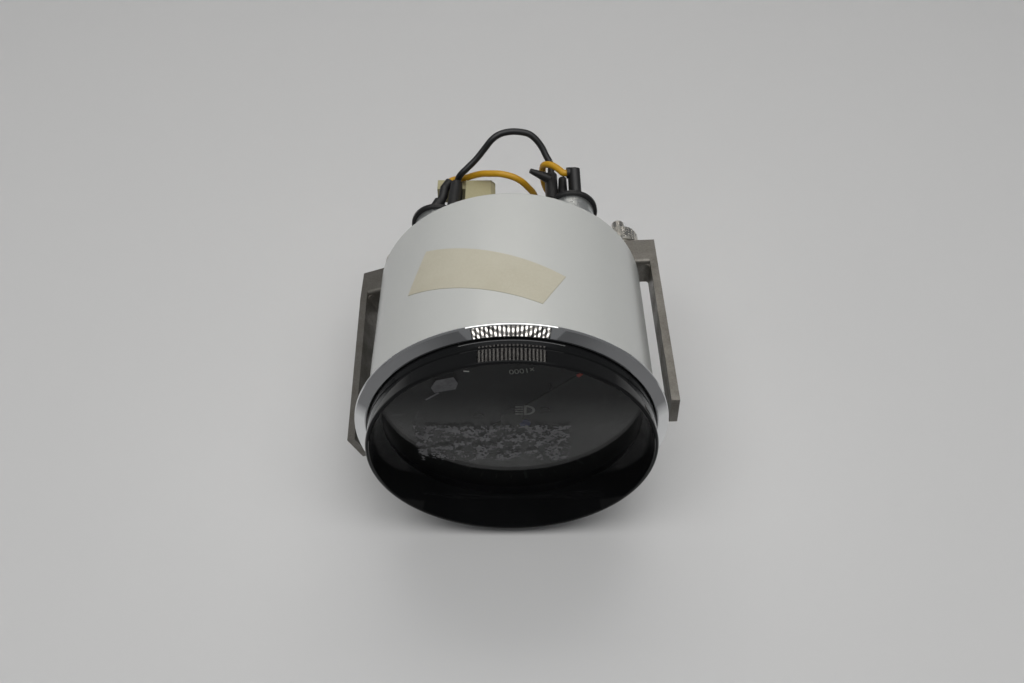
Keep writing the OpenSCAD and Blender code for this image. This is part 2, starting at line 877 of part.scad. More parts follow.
module mounting_studs() {
    color([0.70, 0.68, 0.62])
        rolled()
            for (side = [-1, 1])
                union() {
                    rod(stud_head_r, rear_in_y - stud_head_t, rear_in_y, [side * stud_offset, 0]);
                    translate([side * stud_offset, 0, 0])
                        turned([
                            [0, rear_in_y], [stud_r, rear_in_y],
                            [stud_r, case_depth + stud_out - 0.6],
                            [stud_r - 0.6, case_depth + stud_out], [0, case_depth + stud_out],
                        ]);
                }
}

module lock_nuts() {
    color([0.74, 0.72, 0.66])
        rolled()
            for (side = [-1, 1])
                difference() {
                    hex_bar(lock_af, case_depth, case_depth + lock_t, [side * stud_offset, 0]);
                    rod(stud_r + fit_gap, case_depth - cut, case_depth + lock_t + cut, [side * stud_offset, 0]);
                }
}

// Moves a shape made about the Y axis to the stud on one side, with +X outwards
module at_stud(side, swivel = 0) {
    rolled()
        translate([side * stud_offset, 0, 0])
            rotate([0, side > 0 ? 0 : 180, 0])
                rotate([0, -swivel, 0])
                    children();
}

module washer() {
    color([0.76, 0.76, 0.74])
        pipe(washer_r, stud_r + stud_fit, clamp_end_y, clamp_end_y + washer_t);
}

module washer_left() {
    at_stud(-1)
        washer();
}

module washer_right() {
    at_stud(1)
        washer();
}

// Channel arm that the stud passes through, open to the rear, with a long bar that
// reaches forward to the panel and may be bent sideways
module clamp(reach, bend) {
    half = clamp_h / 2;
    color([0.52, 0.48, 0.44])
        difference() {
            union() {
                rotate([90, 0, 90])
                    translate([0, 0, -arm_in])
                        linear_extrude(arm_in + reach - clamp_t)
                            arm_section();
                rotate([90, 0, 90])
                    translate([0, 0, reach - clamp_t])
                        linear_extrude(clamp_t)
                            bar_outline(bend);
                difference() {
                    block(
                        [reach - clamp_t - clamp_corner_r, arm_front_y - clamp_corner_r, clamp_bend_r - half],
                        [reach - clamp_t, arm_front_y + clamp_t, half - clamp_bend_r]
                    );
                    translate([reach - clamp_t - clamp_corner_r, arm_front_y - clamp_corner_r, 0])
                        cylinder(r = clamp_corner_r, h = 2 * clamp_h, center = true);
                }
            }
            rod(stud_r + stud_fit, arm_front_y - cut, arm_front_y + clamp_t + cut);
        }
}

// Outline of the bar, with the distance along the axis as x and the height as y
module bar_outline(bend) {
    half = clamp_h / 2;
    bend_y = arm_front_y - 2;
    front_y = clamp_front_gap + half * sin(bend);
    front_z = (bend_y - front_y) * tan(bend);
    polygon([
        [clamp_end_y, -half], [clamp_end_y, half],
        [bend_y + half * tan(bend / 2), half],
        [front_y + half * sin(bend), front_z + half * cos(bend)],
        [front_y - half * sin(bend), front_z - half * cos(bend)],
        [bend_y - half * tan(bend / 2), -half],
    ]);
}

// Section of the arm, with the distance along the axis as x and the height as y
module arm_section() {
    half = clamp_h / 2;
    r = clamp_bend_r;
    difference() {
        union() {
            translate([arm_front_y + r, -half])
                square([clamp_arm_d - r, clamp_h]);
            translate([arm_front_y, r - half])
                square([clamp_arm_d, clamp_h - 2 * r]);
            for (side = [-1, 1])
                translate([arm_front_y + r, side * (half - r)])
                    circle(r = r);
        }
        translate([arm_front_y + clamp_t, clamp_t - half])
            square([clamp_arm_d, clamp_h - 2 * clamp_t]);
    }
}

module clamp_left() {
    at_stud(-1, left_swivel)
        clamp(left_reach, left_bend);
}

module clamp_right() {
    at_stud(1, right_swivel)
        clamp(clamp_reach, 0);
}

module thumb_nut() {
    y0 = clamp_end_y + washer_t;
    color([0.62, 0.61, 0.57])
        difference() {
            turned([
                [0, y0], [thumb_r - 0.6, y0], [thumb_r, y0 + 0.6],
                [thumb_r, y0 + thumb_len - 0.8], [thumb_r - 0.8, y0 + thumb_len], [0, y0 + thumb_len],
            ]);
            rod(stud_r + fit_gap, y0 - cut, y0 + thumb_len + cut);
            for (i = [0 : knurls - 1])
                rotate([0, 360 * i / knurls, 0])
                    rod(knurl_r, y0 - cut, y0 + thumb_len + cut, [thumb_r + 0.15, 0], $fn = 24);
        }
}

module thumb_nut_left() {
    at_stud(-1)
        thumb_nut();
}

module thumb_nut_right() {
    at_stud(1)
        thumb_nut();
}

module lamp_shells() {
    color([0.82, 0.84, 0.84])
        rolled()
            for (at = [lamp_left, lamp_right])
                difference() {
                    union() {
                        rod(shell_r, shell_front_y, shell_end_y, at);
                        rod(collar_r, case_depth, case_depth + collar_t, at);
                    }
                    rod(shell_r - shell_wall, shell_front_y - cut, shell_end_y + cut, at);
                }
}

module lamp_holder(at) {
    plug_y = shell_end_y - holder_plug_len;
    color([0.05, 0.05, 0.055])
        rolled()
            difference() {
                union() {
                    translate([at[0], 0, at[1]])
                        turned([
                            [0, shell_end_y], [flange_r - 0.3, shell_end_y],
                            [flange_r, shell_end_y + 0.3], [flange_r, flange_end_y - 0.6],
                            [flange_r - 0.6, flange_end_y], [0, flange_end_y],
                        ]);
                    rod(shell_r - shell_wall - loose_gap, plug_y, shell_end_y, at);
                }
                rod(base_r + fit_gap, plug_y - cut, plug_y + base_len, at);
            }
}

module lamp_holder_left() {
    lamp_holder(lamp_left);
}

module lamp_holder_right() {
    lamp_holder(lamp_right);
}

module bulb_bases() {
    plug_y = shell_end_y - holder_plug_len;
    color([0.75, 0.70, 0.60])
        rolled()
            for (at = [lamp_left, lamp_right])
                rod(base_r, plug_y - 1.5, plug_y + base_len, at);
}

module bulb_glasses() {
    end_y = shell_end_y - holder_plug_len - 1.5;
    color([0.85, 0.88, 0.90, 0.4])
        rolled()
            for (at = [lamp_left, lamp_right])
                translate([at[0], 0, at[1]])
                    turned(concat(
                        [[0, end_y], [base_r - 0.4, end_y], [base_r, end_y - 1.5]],
                        [
                            for (a = [0 : 15 : 90])
                                [bulb_r * cos(a), end_y - bulb_len + bulb_r * (1 - sin(a))]
                        ]
                    ));
}

// Places a shape made about the Y axis, from y = 0, on a blade terminal of a lampholder
module at_terminal(t) {
    translate([t[0], flange_end_y, t[1]])
        rotate([t[3], 0, -t[2]])
            children();
}

// Everything in front of a plane across the gauge's axis, near the terminals
module front_of(y) {
    block([-45, y - 8, 15], [45, y, 50]);
}

// Each blade stands on the holder and ends inside its sleeve
module blade_terminals() {
    color([0.80, 0.76, 0.60])
        difference() {
            union() {
                for (t = terminals)
                    at_terminal(t)
                        block([-blade_t / 2, -1.5, -blade_w / 2], [blade_t / 2, blade_len, blade_w / 2]);
            }
            front_of(flange_end_y);
        }
}

// Rubber sleeves: the first goes on as a curved tube, the last has an arm to the left,
// and a pointed empty one sits on the third
module terminal_sleeves() {
    color([0.05, 0.05, 0.05])
        difference() {
            union() {
                for (i = [0 : len(terminals) - 1])
                    at_terminal(terminals[i])
                        union() {
                            flat_bar(sleeve_w, thickness(i), -2, sleeve_length(i) - sleeve_nose);
                            if (i > 0)
                                rod(thickness(i) / 2 - 0.1, -2, sleeve_length(i));
                            if (i == kinked)
                                translate([0, sleeve_length(i) - arm_r, arm_up])
                                    rotate([0, -90, 0])
                                        cylinder(r = arm_r, h = arm_len);
                        }
                bent_rod(concat([on_sleeve(0, sleeve_length(0) - 4)], nose_bends), nose_r);
                segment(spare_base, spare_tip, 2, 0.9);
            }
            front_of(flange_end_y + clear_gap);
            for (i = [0 : len(terminals) - 1])
                at_terminal(terminals[i])
                    union() {
                        block(
                            [-blade_t / 2 - fit_gap, -4, -blade_w / 2 - fit_gap],
                            [blade_t / 2 + fit_gap, blade_len + fit_gap, blade_w / 2 + fit_gap]
                        );
                        if (i == kinked)
                            translate([2.1 - arm_len, sleeve_length(i) - arm_r, arm_up])
                                rotate([0, -90, 0])
                                    cylinder(r = lead_r + fit_gap, h = 4);
                        if (i == 1 || i == 2)
                            rod(lead_r + fit_gap, sleeve_length(i) - lead_grip, sleeve_length(i) + cut);
                    }
            segment(
                (nose_bends[1] + nose_bends[2]) / 2,
                1.5 * nose_bends[2] - 0.5 * nose_bends[1],
                lead_r + fit_gap,
                lead_r + fit_gap
            );
        }
}

// Round bar or cone from point a to point b
module segment(a, b, r_a, r_b) {
    way = b - a;
    translate(a)
        rotate([0, acos(way[2] / norm(way)), atan2(way[1], way[0])])
            cylinder(r1 = r_a, r2 = r_b, h = norm(way));
}

// Round bar through several points, with balls at its bends
module bent_rod(points, r) {
    for (i = [1 : len(points) - 1])
        segment(points[i - 1], points[i], r, r);
    for (i = [1 : len(points) - 2])
        translate(points[i])
            sphere(r = r + 0.06);
}

module black_lead() {
    color([0.04, 0.05, 0.06])
        swept(black_route, lead_r);
}

module yellow_lead() {
    color([0.85, 0.60, 0.05])
        swept(yellow_route, lead_r);
}

// Repeats a shape at each pin of the connector
module pin_places() {
    for (i = [0 : pin_columns - 1], k = [0 : pin_rows - 1])
        translate([
            conn_neck_left + (conn_right - conn_neck_left) * (i + 0.5) / pin_columns,
            0,
            conn_low + (conn_top - conn_low) * (k + 0.5) / pin_rows
        ])
            children();
}

module connector_housing() {
    color([0.86, 0.84, 0.72])
        difference() {
            union() {
                block([conn_neck_left, board_back, conn_low], [conn_right, conn_end, conn_top]);
                block(lug_low, lug_high);
            }
            block(
                [conn_neck_left + conn_wall, shell_end_y + 0.6, conn_low + conn_wall],
                [conn_right - conn_wall, conn_end + cut, conn_top - conn_wall]
            );
            pin_places()
                block([-pin_w / 2, board_back - cut, -blade_t / 2], [pin_w / 2, conn_end, blade_t / 2]);
            translate([conn_right, 0, conn_top])
                rotate([0, 45, 0])
                    cube([2.2, 3 * conn_end, 2.2], center = true);
        }
}

module connector_pins() {
    color([0.80, 0.74, 0.50])
        pin_places()
            block([-pin_w / 2, board_y - 1, -blade_t / 2], [pin_w / 2, conn_end - 5, blade_t / 2]);
}

// Where a point of the label at [along, across] falls, in the label's own unrolled frame
function label_point(a, b) =
    let (
        s = a * cos(label_tilt) - b * sin(label_tilt),
        y = a * sin(label_tilt) + b * cos(label_tilt)
    )
    [case_r * sin(s / case_r * 180 / PI), label_y + y];

module paper_label() {
    color([0.88, 0.83, 0.72])
        rotate([0, label_arc / case_r * 180 / PI, 0])
            intersection() {
                pipe(case_r + label_t, case_r, 0, case_depth);
                linear_extrude(case_r + cut)
                    polygon([
                        for (k = [0 : 3], i = [0 : 7])
                            let (p = label_corners[k], q = label_corners[(k + 1) % 4], m = p + (q - p) * i / 8)
                            label_point(m[0], m[1])
                    ]);
            }
}

can();
bezel_ring();
front_shroud();
front_glass();
glass_seal();
spacer_ring();
dial_plate();
dial_screws();
main_beam_lens();
main_beam_led();
pointer_stop();
pointer();
pointer_hub();
pointer_shaft();
magnet_rotor();
hairspring();
movement_plate();
movement_cup();
front_bearing();
rear_bearing();
coil_bobbin();
inner_winding();
outer_winding();
light_box();
circuit_board();
board_pillars();
case_screws();
driver_chip();
capacitors();
resistors();
trimmer_body();
trimmer_rotor();
mounting_studs();
lock_nuts();
washer_left();
washer_right();
clamp_left();
clamp_right();
thumb_nut_left();
thumb_nut_right();
lamp_shells();
lamp_holder_left();
lamp_holder_right();
bulb_bases();
bulb_glasses();
blade_terminals();
terminal_sleeves();
black_lead();
yellow_lead();
connector_housing();
connector_pins();
paper_label();
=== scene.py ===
import bpy
import math
import numpy as np
from mathutils import Matrix, Vector


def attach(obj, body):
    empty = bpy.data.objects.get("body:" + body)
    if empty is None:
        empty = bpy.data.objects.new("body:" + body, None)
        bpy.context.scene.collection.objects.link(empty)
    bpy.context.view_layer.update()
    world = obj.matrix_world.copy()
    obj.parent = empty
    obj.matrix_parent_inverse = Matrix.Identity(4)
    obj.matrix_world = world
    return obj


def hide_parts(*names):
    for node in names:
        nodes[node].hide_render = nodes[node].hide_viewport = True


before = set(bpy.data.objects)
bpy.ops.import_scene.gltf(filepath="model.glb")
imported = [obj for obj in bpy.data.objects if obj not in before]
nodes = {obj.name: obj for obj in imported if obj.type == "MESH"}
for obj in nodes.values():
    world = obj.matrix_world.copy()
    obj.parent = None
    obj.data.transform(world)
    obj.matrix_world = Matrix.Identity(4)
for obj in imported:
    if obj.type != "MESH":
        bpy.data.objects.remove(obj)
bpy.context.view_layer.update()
MM = 0.001

# Sizes repeated from the part's source, in millimetres and degrees
ROLL = math.radians(8)
CASE_R = 49.5
CASE_DEPTH = 64.6
CASE_EDGE = 1.3
RING_R = 53.0
RING_EDGE_Y = -0.4
LEAD_R = 1.25
DIAL_Y = 7.0
GLASS_Y = 1.2
GLASS_BACK = 2.8
POINTER_REST = 46.5
SWEEP = 257.0
TIP_FROM = 31.0

# Prints and marks lie this far off the surface behind them, in millimetres
PRINT_LIFT = 0.02
SYMBOL_LIFT = 0.03


# Camera, solved from the outlines in the photograph

IMAGE_W = 1024
FOCAL_PX = 900.18
SENSOR_W = 36
CAMERA_AT = (-2.143, -180.359, 249.318)
PITCH, YAW, TILT = 48.658, -0.652, 0.355


def place_camera():
    """Pinhole at the solved place: columns are right, up and backwards, turned by pitch, yaw, roll."""
    pitch, yaw, tilt = (math.radians(a) for a in (PITCH, YAW, TILT))
    turn = np.array([[math.cos(yaw), -math.sin(yaw), 0], [math.sin(yaw), math.cos(yaw), 0], [0, 0, 1]])
    right = turn @ np.array([1, 0, 0])
    up = turn @ np.array([0, math.sin(pitch), math.cos(pitch)])
    ahead = turn @ np.array([0, math.cos(pitch), -math.sin(pitch)])
    side = right * math.cos(tilt) + up * math.sin(tilt)
    top = up * math.cos(tilt) - right * math.sin(tilt)
    data = bpy.data.cameras.new("view")
    data.sensor_width = SENSOR_W
    data.lens = FOCAL_PX / IMAGE_W * SENSOR_W
    data.clip_start = 0.01
    data.clip_end = 20
    cam = bpy.data.objects.new("view", data)
    bpy.context.collection.objects.link(cam)
    place = np.eye(4)
    place[:3, 0], place[:3, 1], place[:3, 2] = side, top, -ahead
    place[:3, 3] = np.array(CAMERA_AT) * MM
    cam.matrix_world = Matrix(place.tolist())
    bpy.context.scene.camera = cam


place_camera()


# Meshes from grids and profiles

def mesh_piece(name, points, faces, material, body="case", smooth=True):
    """Puts points in millimetres and faces into a new object that rides on a body."""
    mesh = bpy.data.meshes.new(name)
    mesh.from_pydata((np.asarray(points) * MM).tolist(), [], faces)
    if smooth:
        mesh.polygons.foreach_set("use_smooth", np.ones(len(mesh.polygons), bool))
    mesh.update()
    piece = bpy.data.objects.new(name, mesh)
    bpy.context.collection.objects.link(piece)
    if material is not None:
        mesh.materials.append(material)
    if body is not None:
        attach(piece, body)
    return piece


def grid_faces(rows, columns, around=False):
    """Quads between neighbouring points of a grid that is rows by columns, closed round if asked."""
    wide = columns if around else columns - 1
    i, j = np.meshgrid(np.arange(rows - 1), np.arange(wide), indexing="ij")
    a = i * columns + j
    b = i * columns + (j + 1) % columns
    return np.stack([a, b, b + columns, a + columns], -1).reshape(-1, 4).tolist()


def smooth_path(points, step):
    """Catmull-Rom curve through the points, then spaced evenly along its length."""
    p = np.asarray(points, float)
    p = np.vstack([2 * p[0] - p[1], p, 2 * p[-1] - p[-2]])
    t = np.linspace(0, 1, 24, endpoint=False)[None, :, None]
    a, b, c, d = p[:-3, None], p[1:-2, None], p[2:-1, None], p[3:, None]
    curve = 0.5 * (2 * b + (c - a) * t + (2 * a - 5 * b + 4 * c - d) * t ** 2
                   + (3 * b - a - 3 * c + d) * t ** 3)
    curve = np.vstack([curve.reshape(-1, 3), p[-2]])
    along = np.concatenate([[0], np.cumsum(np.linalg.norm(np.diff(curve, axis=0), axis=1))])
    at = np.linspace(0, along[-1], max(int(along[-1] / step), 2))
    return np.stack([np.interp(at, along, curve[:, k]) for k in range(3)], -1)


def tube_points(path, radius, sides):
    """Circles of the radius square to the path, with normals carried along it without twist."""
    ahead = np.gradient(path, axis=0)
    ahead /= np.linalg.norm(ahead, axis=1, keepdims=True)
    normal = np.zeros_like(path)
    n = np.cross(ahead[0], [0.3, 0.1, 1.0])
    for i, t in enumerate(ahead):
        n = n - t * (n @ t)
        n = n / np.linalg.norm(n)
        normal[i] = n
    other = np.cross(ahead, normal)
    a = np.linspace(0, 2 * math.pi, sides, endpoint=False)
    radius = np.broadcast_to(radius, (len(path),))[:, None, None]
    ring = np.cos(a)[None, :, None] * normal[:, None] + np.sin(a)[None, :, None] * other[:, None]
    return (path[:, None] + radius * ring).reshape(-1, 3)


def tube(name, path, radius, material, sides=20, body="case"):
    """Closed round tube along a path, its ends shut by single faces."""
    path = np.asarray(path, float)
    points = tube_points(path, radius, sides)
    faces = grid_faces(len(path), sides, True)
    faces.append(list(range(sides))[::-1])
    faces.append(list(range(len(points) - sides, len(points))))
    return mesh_piece(name, points, faces, material, body)


# Material helpers

def new_material(name, colour, roughness, metallic=0.0, **sockets):
    """Principled material with constant values set on its own sockets."""
    material = bpy.data.materials.new(name)
    material.use_nodes = True
    shader = material.node_tree.nodes["Principled BSDF"]
    shader.inputs["Base Color"].default_value = (*colour, 1)
    shader.inputs["Roughness"].default_value = roughness
    shader.inputs["Metallic"].default_value = metallic
    for key, value in sockets.items():
        shader.inputs[key.replace("_", " ")].default_value = value
    return material


def add(material, kind, **values):
    """New node in a material, with its properties or input sockets set by name."""
    node = material.node_tree.nodes.new(kind)
    for key, value in values.items():
        if hasattr(node, key):
            setattr(node, key, value)
        else:
            node.inputs[key].default_value = value
    return node


def link(material, source, target):
    material.node_tree.links.new(source, target)


def shader_of(material):
    return material.node_tree.nodes["Principled BSDF"]


def new_group(name, inputs, outputs):
    """Empty node group with float inputs {name: default} and outputs [(name, type)]."""
    group = bpy.data.node_groups.new(name, "ShaderNodeTree")
    for key, value in inputs.items():
        kind = "NodeSocketColor" if isinstance(value, tuple) else "NodeSocketFloat"
        socket = group.interface.new_socket(key, in_out="INPUT", socket_type=kind)
        socket.default_value = value
    for key, kind in outputs:
        group.interface.new_socket(key, in_out="OUTPUT", socket_type=kind)
    start = group.nodes.new("NodeGroupInput")
    end = group.nodes.new("NodeGroupOutput")
    return group, start, end


def group_math(group, operation, a, b=None, clamp=False):
    """Math node in a group; a and b are sockets or numbers."""
    node = group.nodes.new("ShaderNodeMath")
    node.operation = operation
    node.use_clamp = clamp
    for i, value in enumerate((a, b)):
        if value is None:
            continue
        if isinstance(value, (int, float)):
            node.inputs[i].default_value = value
        else:
            group.links.new(value, node.inputs[i])
    return node.outputs[0]


def make_mottle():
    """Slow and fast noise added up: colour mixed towards Tint, and a height for the bump."""
    group, start, end = new_group(
        "mottle",
        {"Color": (0.5, 0.5, 0.5, 1.0), "Tint": (0.4, 0.4, 0.4, 1.0), "Amount": 0.3,
         "Slow": 60.0, "Fast": 900.0},
        [("Color", "NodeSocketColor"), ("Mask", "NodeSocketFloat"), ("Height", "NodeSocketFloat")],
    )
    place = group.nodes.new("ShaderNodeTexCoord")
    heights = []
    for key, detail in (("Slow", 4.0), ("Fast", 3.0)):
        noise = group.nodes.new("ShaderNodeTexNoise")
        noise.inputs["Detail"].default_value = detail
        group.links.new(place.outputs["Object"], noise.inputs["Vector"])
        group.links.new(start.outputs[key], noise.inputs["Scale"])
        heights.append(noise.outputs["Fac"])
    both = group_math(group, "ADD", group_math(group, "MULTIPLY", heights[0], 0.65),
                      group_math(group, "MULTIPLY", heights[1], 0.35))
    mask = group_math(group, "MULTIPLY", group_math(group, "SUBTRACT", both, 0.38), 4.0, clamp=True)
    share = group_math(group, "MULTIPLY", mask, start.outputs["Amount"])
    mix = group.nodes.new("ShaderNodeMix")
    mix.data_type = "RGBA"
    group.links.new(share, mix.inputs["Factor"])
    group.links.new(start.outputs["Color"], mix.inputs["A"])
    group.links.new(start.outputs["Tint"], mix.inputs["B"])
    group.links.new(mix.outputs["Result"], end.inputs["Color"])
    group.links.new(mask, end.inputs["Mask"])
    group.links.new(heights[1], end.inputs["Height"])
    return group


MOTTLE = make_mottle()


def mottle(material, colour, tint, amount, slow, fast, bump, distance, rough):
    """Adds the mottle group to a material: colour, bump and, if asked, roughness from its mask."""
    node = add(material, "ShaderNodeGroup", node_tree=MOTTLE)
    node.inputs["Color"].default_value = (*colour, 1)
    node.inputs["Tint"].default_value = (*tint, 1)
    node.inputs["Amount"].default_value = amount
    node.inputs["Slow"].default_value = slow
    node.inputs["Fast"].default_value = fast
    shader = shader_of(material)
    link(material, node.outputs["Color"], shader.inputs["Base Color"])
    if bump:
        bumped = add(material, "ShaderNodeBump", Strength=bump, Distance=distance * MM)
        link(material, node.outputs["Height"], bumped.inputs["Height"])
        link(material, bumped.outputs["Normal"], shader.inputs["Normal"])
    if rough:
        spread = add(material, "ShaderNodeMapRange")
        spread.inputs["To Min"].default_value = rough[0]
        spread.inputs["To Max"].default_value = rough[1]
        link(material, node.outputs["Mask"], spread.inputs["Value"])
        link(material, spread.outputs["Result"], shader.inputs["Roughness"])


# Materials

def surface(name, colour, tint, rough, metallic=0.0, amount=0.5, slow=80, fast=1200, bump=0.1,
            distance=0.02, **sockets):
    """Material mottled between two colours and, where rough is a pair, between two roughnesses."""
    spread = rough if isinstance(rough, tuple) else None
    m = new_material(name, colour, spread[0] if spread else rough, metallic, **sockets)
    mottle(m, colour, tint, amount, slow, fast, bump, distance, spread)
    return m


def plain(name, colour, tint, roughness, metallic=0.0, slow=80, fast=1200, bump=0.1):
    """Surface whose roughness wanders a little about one value."""
    spread = (roughness * 0.85, min(roughness * 1.25, 1))
    return surface(name, colour, tint, spread, metallic, slow=slow, fast=fast, bump=bump)


def black_moulding(name, rough=(0.16, 0.30), colour=(0.010, 0.011, 0.012), bump=0.10, **sockets):
    """Black plastic or rubber, mottled towards a slightly lighter black."""
    tint = tuple(c * 1.6 + 0.001 for c in colour)
    return surface(name, colour, tint, rough, slow=45, fast=1100, bump=bump, **sockets)


TIP_COLOUR = (0.55, 0.035, 0.008)
POINTER_BLACK = (0.0022, 0.0022, 0.0022)
TIP_BLEND = 0.2


def pointer_paint():
    """Matt black up to TIP_FROM millimetres from the axis, orange-red beyond."""
    m = new_material("pointer_paint", TIP_COLOUR, 0.6)
    place = add(m, "ShaderNodeTexCoord")
    flat = add(m, "ShaderNodeMapping")
    flat.inputs["Scale"].default_value = (1, 0, 1)
    link(m, place.outputs["Object"], flat.inputs["Vector"])
    length = add(m, "ShaderNodeVectorMath", operation="LENGTH")
    link(m, flat.outputs["Vector"], length.inputs[0])
    beyond = add(m, "ShaderNodeMapRange")
    beyond.inputs["From Min"].default_value = (TIP_FROM - TIP_BLEND) * MM
    beyond.inputs["From Max"].default_value = (TIP_FROM + TIP_BLEND) * MM
    link(m, length.outputs["Value"], beyond.inputs["Value"])
    mix = add(m, "ShaderNodeMix", data_type="RGBA")
    mix.inputs["A"].default_value = (*POINTER_BLACK, 1)
    mix.inputs["B"].default_value = (*TIP_COLOUR, 1)
    link(m, beyond.outputs["Result"], mix.inputs["Factor"])
    link(m, mix.outputs["Result"], shader_of(m).inputs["Base Color"])
    return m


PLATED_STEEL = surface("plated_steel", (0.62, 0.61, 0.58), (0.42, 0.39, 0.33), (0.20, 0.42), 1.0,
                       slow=200, fast=1500, bump=0.15)
BARE_STEEL = surface("bare_steel", (0.212, 0.203, 0.186), (0.120, 0.110, 0.094), (0.34, 0.56), 0.75,
                     amount=0.7, slow=120, fast=1600, bump=0.25, distance=0.04)
PAINT = surface("paint_white", (0.53, 0.54, 0.527), (0.50, 0.51, 0.495), (0.25, 0.27), amount=0.30,
                slow=22, fast=420, bump=0.0, Coat_Weight=0.15, Coat_Roughness=0.16)
CHROME = surface("chrome", (0.76, 0.77, 0.78), (0.66, 0.67, 0.67), (0.02, 0.035), 1.0, amount=0.25,
                 slow=160, fast=1400, bump=0.0)
GLASS = surface("clear_glass", (0.98, 0.99, 0.985), (0.93, 0.95, 0.95), 0.0, amount=0.4, slow=70,
                fast=900, bump=0.0, Transmission_Weight=1.0, IOR=1.37)
SHROUD_BLACK = black_moulding("shroud_black", (0.035, 0.05), (0.004, 0.0042, 0.0045), 0.0, IOR=1.38)
DIAL_BLACK = black_moulding("dial_black", (0.6, 0.75), (0.0025, 0.0025, 0.0028), 0.0)
SLEEVE_BLACK = black_moulding("sleeve_black", (0.42, 0.60), (0.006, 0.006, 0.0065), 0.05)
HOLDER_BLACK = black_moulding("holder_black", (0.32, 0.48), (0.006, 0.006, 0.0065), 0.05)
DARK = black_moulding("dark_moulding", (0.4, 0.55))
BLACK_WIRE = black_moulding("lead_black", (0.36, 0.50), (0.005, 0.0055, 0.007), 0.05)
YELLOW_WIRE = plain("lead_yellow", (0.54, 0.29, 0.006), (0.46, 0.23, 0.005), 0.46)
LENS_BLUE = plain("lens_blue", (0.006, 0.010, 0.09), (0.004, 0.008, 0.06), 0.4)
PAPER = plain("label_paper", (0.50, 0.475, 0.385), (0.44, 0.41, 0.32), 0.75, slow=70, fast=1500)
NYLON = plain("nylon", (0.36, 0.33, 0.20), (0.30, 0.27, 0.15), 0.42)
LAMP_METAL = plain("lamp_metal", (0.62, 0.64, 0.64), (0.45, 0.46, 0.45), 0.3, 0.9)
BRASS = plain("terminal_brass", (0.62, 0.50, 0.28), (0.45, 0.33, 0.16), 0.3, 1.0)
COPPER = plain("copper_wire", (0.55, 0.24, 0.10), (0.40, 0.15, 0.06), 0.35, 1.0)
BOX_WHITE = plain("box_white", (0.80, 0.80, 0.77), (0.70, 0.70, 0.66), 0.5)
BOARD = plain("board_green", (0.05, 0.16, 0.07), (0.03, 0.10, 0.05), 0.4)
BLUE = plain("trimmer_blue", (0.03, 0.10, 0.35), (0.02, 0.07, 0.25), 0.35)
TAN = plain("resistor_tan", (0.55, 0.44, 0.27), (0.42, 0.32, 0.18), 0.45)
PRINT_BEAM = plain("print_beam", (0.20, 0.205, 0.19), (0.17, 0.175, 0.16), 0.8, bump=0.0)
PRINT_DARK = plain("print_dark", (0.012, 0.012, 0.012), (0.009, 0.009, 0.009), 0.6)
PRINT_PALE = plain("print_pale", (0.34, 0.36, 0.32), (0.26, 0.28, 0.24), 0.8, bump=0.0)
GLUE = plain("glue", (0.18, 0.18, 0.188), (0.08, 0.08, 0.084), 0.9, slow=260, bump=0.0)
# Painted glint: a pale colour for a small bright streak on the glass, standing in for a highlight
GLINT_PAINT = plain("painted_glint", (0.55, 0.56, 0.52), (0.45, 0.46, 0.42), 0.4)

# The CAD nodes that each material covers; the rest are plated steel
COVERS = (
    (PAINT, ("can",)),
    (CHROME, ("bezel_ring",)),
    (SHROUD_BLACK, ("front_shroud",)),
    (GLASS, ("front_glass", "bulb_glasses")),
    (DIAL_BLACK, ("dial_plate", "dial_screws", "pointer_stop", "pointer_hub")),
    (pointer_paint(), ("pointer",)),
    (LENS_BLUE, ("main_beam_lens",)),
    (BARE_STEEL, ("clamp_left", "clamp_right")),
    (PAPER, ("paper_label",)),
    (NYLON, ("connector_housing",)),
    (SLEEVE_BLACK, ("terminal_sleeves",)),
    (HOLDER_BLACK, ("lamp_holder_left", "lamp_holder_right")),
    (LAMP_METAL, ("lamp_shells",)),
    (BLACK_WIRE, ("black_lead",)),
    (YELLOW_WIRE, ("yellow_lead",)),
    (BOX_WHITE, ("light_box", "trimmer_rotor", "main_beam_led")),
    (BOARD, ("circuit_board",)),
    (BRASS, ("board_pillars", "front_bearing", "rear_bearing", "hairspring", "blade_terminals",
             "connector_pins", "bulb_bases")),
    (COPPER, ("inner_winding", "outer_winding")),
    (BLUE, ("capacitors", "trimmer_body")),
    (TAN, ("resistors",)),
    (DARK, ("glass_seal", "spacer_ring", "coil_bobbin", "driver_chip", "magnet_rotor")),
)
MATERIALS = {name: material for material, names in COVERS for name in names}

for name, node in nodes.items():
    node.data.materials.clear()
    node.data.materials.append(MATERIALS.get(name, PLATED_STEEL))


# Leads, along the same routes as in the part's source and a hair thinner

LEAD_DRAWN_R = LEAD_R * 0.985
LEAD_STEP = 0.4

